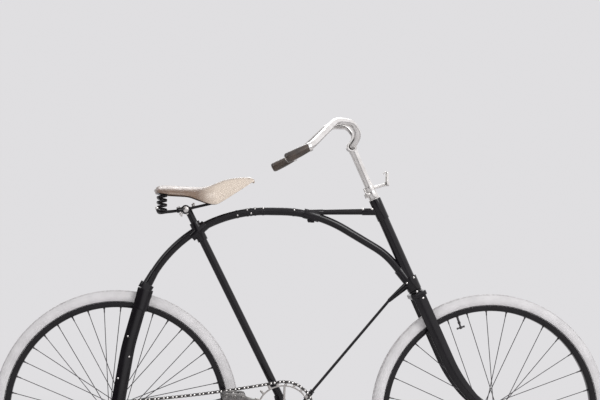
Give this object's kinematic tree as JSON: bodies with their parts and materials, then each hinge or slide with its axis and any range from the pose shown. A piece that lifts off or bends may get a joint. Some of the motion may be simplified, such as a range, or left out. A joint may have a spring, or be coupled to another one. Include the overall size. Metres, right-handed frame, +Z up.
{
  "type": "safety bicycle",
  "caption": "Safety bicycle of about 1890: arched backbone, straight top stay, tie rod, curved fork, upswept handlebar, sprung leather saddle, pale air tyres and fixed chain drive.",
  "frame": {"origin": "the place on the saddle's top where the rider sits, in the bicycle's middle plane", "axes": "+X forward, +Y to the rider's left, +Z up; the wheels' ground is at Z -1.090 m"},
  "size_m": [1.9446, 0.5934, 1.3075],
  "materials": {
    "black_enamel": "black stoved enamel, glossy with small chips and dust",
    "nickel": "nickel plate, slightly dulled",
    "tyre_rubber": "pale grey-white rubber, matt and dusty",
    "spoke_steel": "dulled steel wire",
    "chain_steel": "oiled steel, bright where it rubs",
    "saddle_leather": "tan leather, polished by use",
    "grip_horn": "dark horn composition, smooth",
    "pedal_rubber": "ribbed dark rubber"
  },
  "bodies": {
    "frame": {"arch_tube": "black_enamel", "rear_crown": "black_enamel", "rear_fork_right": "black_enamel", "rear_fork_left": "black_enamel", "top_stay": "black_enamel", "junction_lug": "black_enamel", "head_tube": "black_enamel", "head_lug_top": "black_enamel", "head_lug_bottom": "black_enamel", "seat_tube": "black_enamel", "seat_lug": "black_enamel", "bottom_bracket_shell": "black_enamel", "tie_rod": "black_enamel", "lower_stay_right": "black_enamel", "lower_stay_left": "black_enamel", "seat_pillar": "nickel", "saddle_clip": "nickel", "saddle_springs": "spoke_steel", "saddle_leather": "saddle_leather", "chain": "chain_steel", "mounting_step": "nickel", "rear_axle": "nickel"},
    "steering": {"fork_crown": "black_enamel", "fork_blade_right": "black_enamel", "fork_blade_left": "black_enamel", "stem": "nickel", "head_clamp": "nickel", "handlebar": "nickel", "grip_right": "grip_horn", "grip_left": "grip_horn", "lamp_bracket": "nickel", "front_axle": "nickel"},
    "front_wheel": {"front_tyre": "tyre_rubber", "front_rim": "black_enamel", "front_spokes": "spoke_steel", "front_hub": "nickel"},
    "rear_wheel": {"rear_tyre": "tyre_rubber", "rear_rim": "black_enamel", "rear_spokes": "spoke_steel", "rear_hub": "nickel", "rear_sprocket": "chain_steel"},
    "crank_set": {"crank_axle": "nickel", "chainwheel": "chain_steel", "crank_right": "nickel", "crank_left": "nickel"},
    "right_pedal": {"pedal_right": "nickel", "pedal_rubber_right": "pedal_rubber"},
    "left_pedal": {"pedal_left": "nickel", "pedal_rubber_left": "pedal_rubber"}
  },
  "joints": [
    {"name": "steering_turn", "type": "hinge", "parent": "frame", "child": "steering", "pos_m": [0.7621, 0, -0.3287], "axis": [-0.4217, 0, 0.9068], "range_deg": [-40, 40]},
    {"name": "front_wheel_spin", "type": "hinge", "parent": "steering", "child": "front_wheel", "pos_m": [1.0026, 0, -0.709], "axis": [0, 1, 0], "continuous": true},
    {"name": "rear_wheel_spin", "type": "hinge", "parent": "frame", "child": "rear_wheel", "pos_m": [-0.18, 0, -0.709], "axis": [0, 1, 0], "continuous": true},
    {"name": "crank_spin", "type": "hinge", "parent": "frame", "child": "crank_set", "pos_m": [0.3386, 0, -0.702], "axis": [0, 1, 0], "continuous": true},
    {"name": "right_pedal_spin", "type": "hinge", "parent": "crank_set", "child": "right_pedal", "pos_m": [0.17885, 0, -0.64386], "axis": [0, 1, 0], "continuous": true},
    {"name": "left_pedal_spin", "type": "hinge", "parent": "crank_set", "child": "left_pedal", "pos_m": [0.49835, 0, -0.76014], "axis": [0, 1, 0], "continuous": true}
  ],
  "couplings": [
    {"joint": "crank_spin", "follows": "rear_wheel_spin", "ratio": 0.38095}
  ]
}
